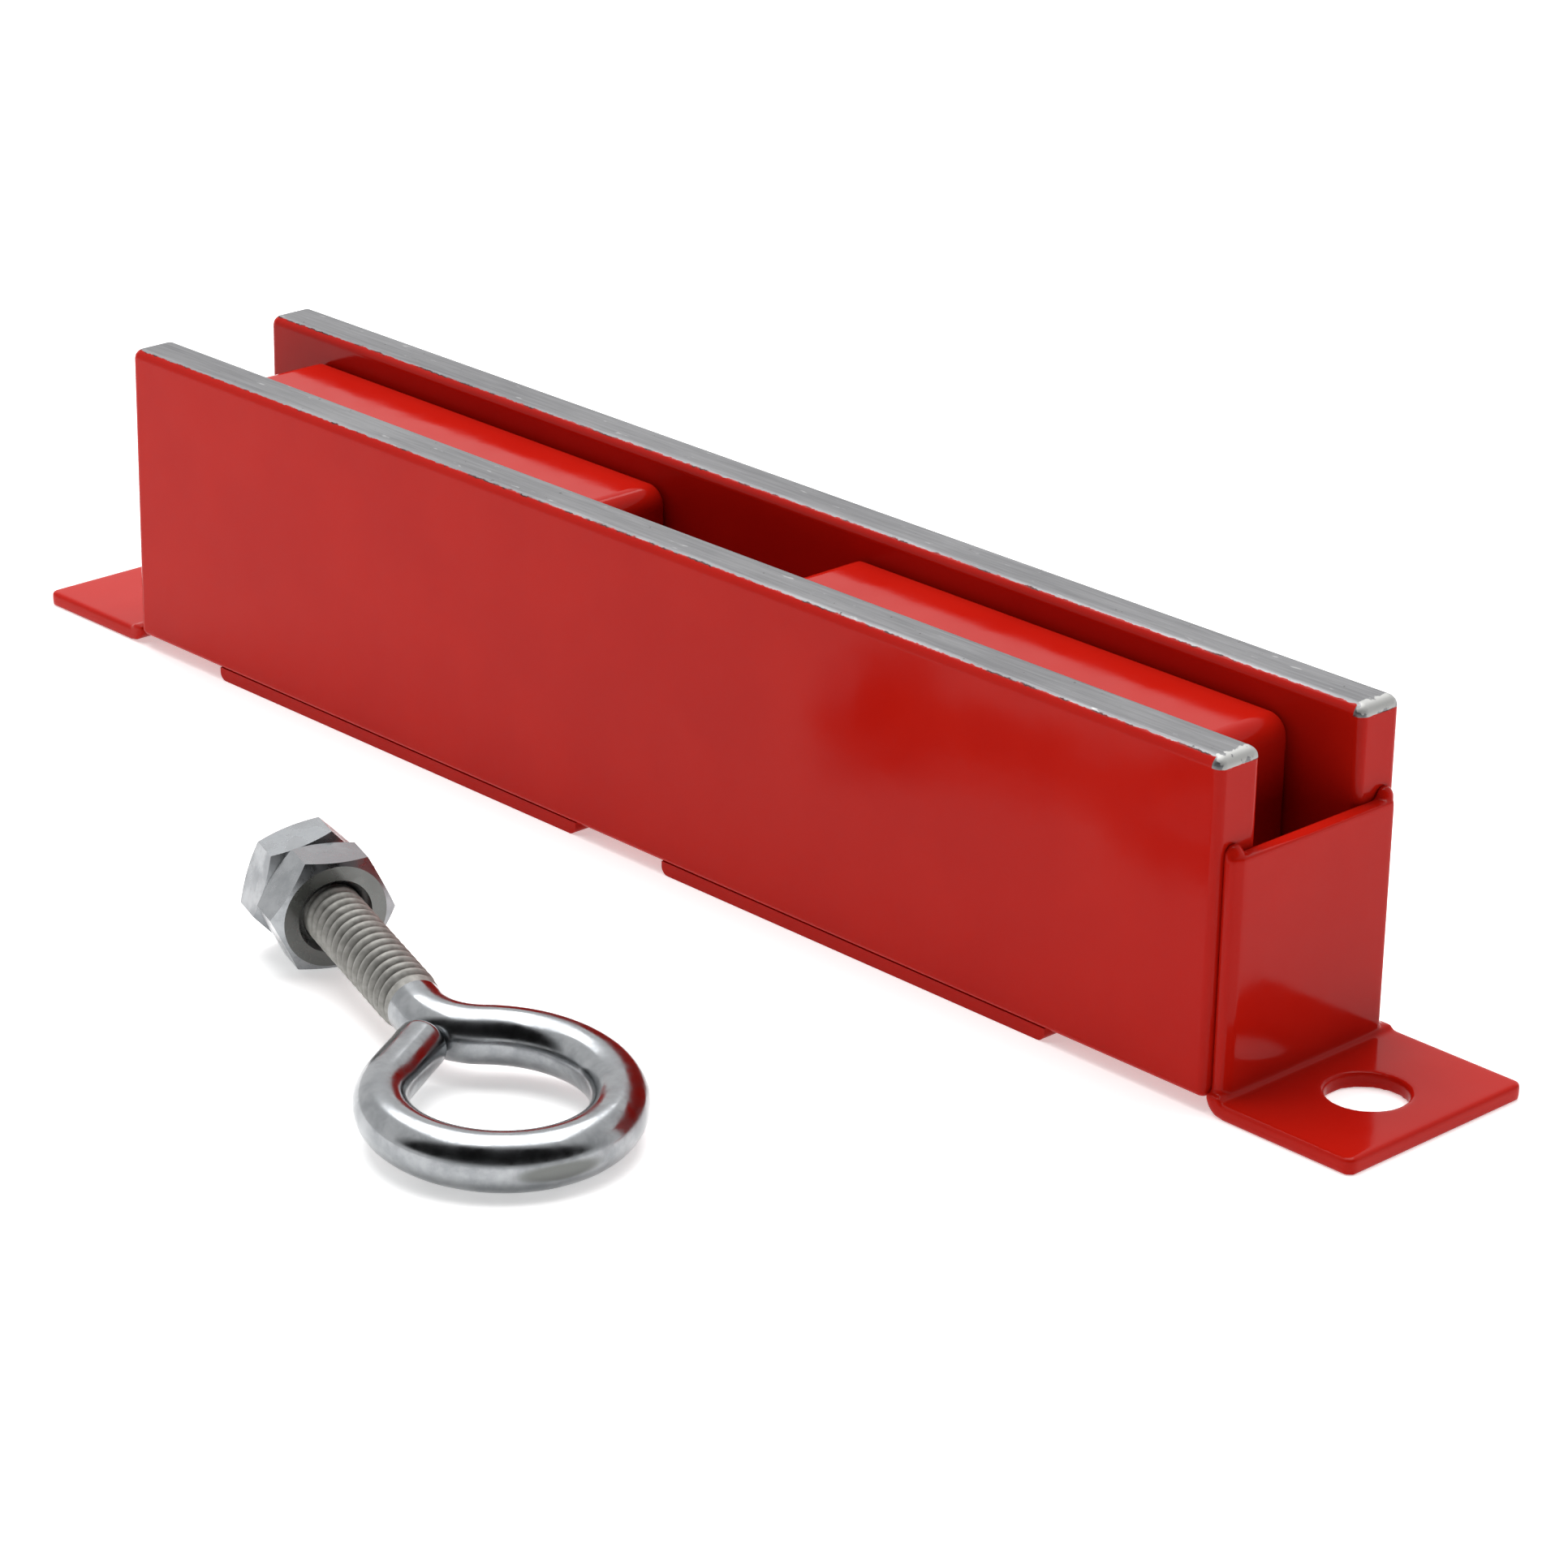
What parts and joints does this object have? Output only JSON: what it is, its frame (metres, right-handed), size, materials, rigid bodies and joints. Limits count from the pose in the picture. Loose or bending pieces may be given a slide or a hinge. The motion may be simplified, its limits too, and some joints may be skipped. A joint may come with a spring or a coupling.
{
  "type": "lifting bar magnet",
  "caption": "Bar magnet with two steel pole plates, bonded magnet blocks and end mounting flanges, with a loose threaded eyebolt and jam nuts for lifting or hanging it.",
  "frame": {"origin": "middle of the bar on its base plane, which is also the middle of the line between the two flange holes", "axes": "+X along the bar, +Y from the front pole plate to the rear one, +Z from the base up to the pole faces"},
  "size_m": [0.1932, 0.0884, 0.0345],
  "materials": {
    "red_paint": "gloss red coat over steel and ceramic, ground bare on the pole faces",
    "ground_steel": "fine lengthwise grinding",
    "adhesive": "cured adhesive under paint",
    "zinc_plate": "bright zinc plating"
  },
  "bodies": {
    "bar": {"front_pole_plate": "red_paint", "rear_pole_plate": "red_paint", "left_magnet": "red_paint", "right_magnet": "red_paint", "left_front_bond": "adhesive", "left_rear_bond": "adhesive", "right_front_bond": "adhesive", "right_rear_bond": "adhesive", "left_end_bracket": "red_paint", "right_end_bracket": "red_paint", "left_bracket_welds": "red_paint", "right_bracket_welds": "red_paint", "left_base_strap": "red_paint", "right_base_strap": "red_paint"},
    "eyebolt": {"eyebolt": "zinc_plate"},
    "inner_nut": {"inner_nut": "zinc_plate"},
    "outer_nut": {"outer_nut": "zinc_plate"}
  },
  "joints": [
    {"name": "eyebolt_lift", "type": "slide", "parent": "bar", "child": "eyebolt", "axis": [0, 0, 1], "range_m": [0, 0.06]},
    {"name": "inner_nut_travel", "type": "slide", "parent": "eyebolt", "child": "inner_nut", "axis": [0.9544, -0.2918, -0.0634], "range_m": [0, 0.016]},
    {"name": "outer_nut_travel", "type": "slide", "parent": "inner_nut", "child": "outer_nut", "axis": [-0.9544, 0.2918, 0.0634], "range_m": [0, 0.0035]}
  ]
}
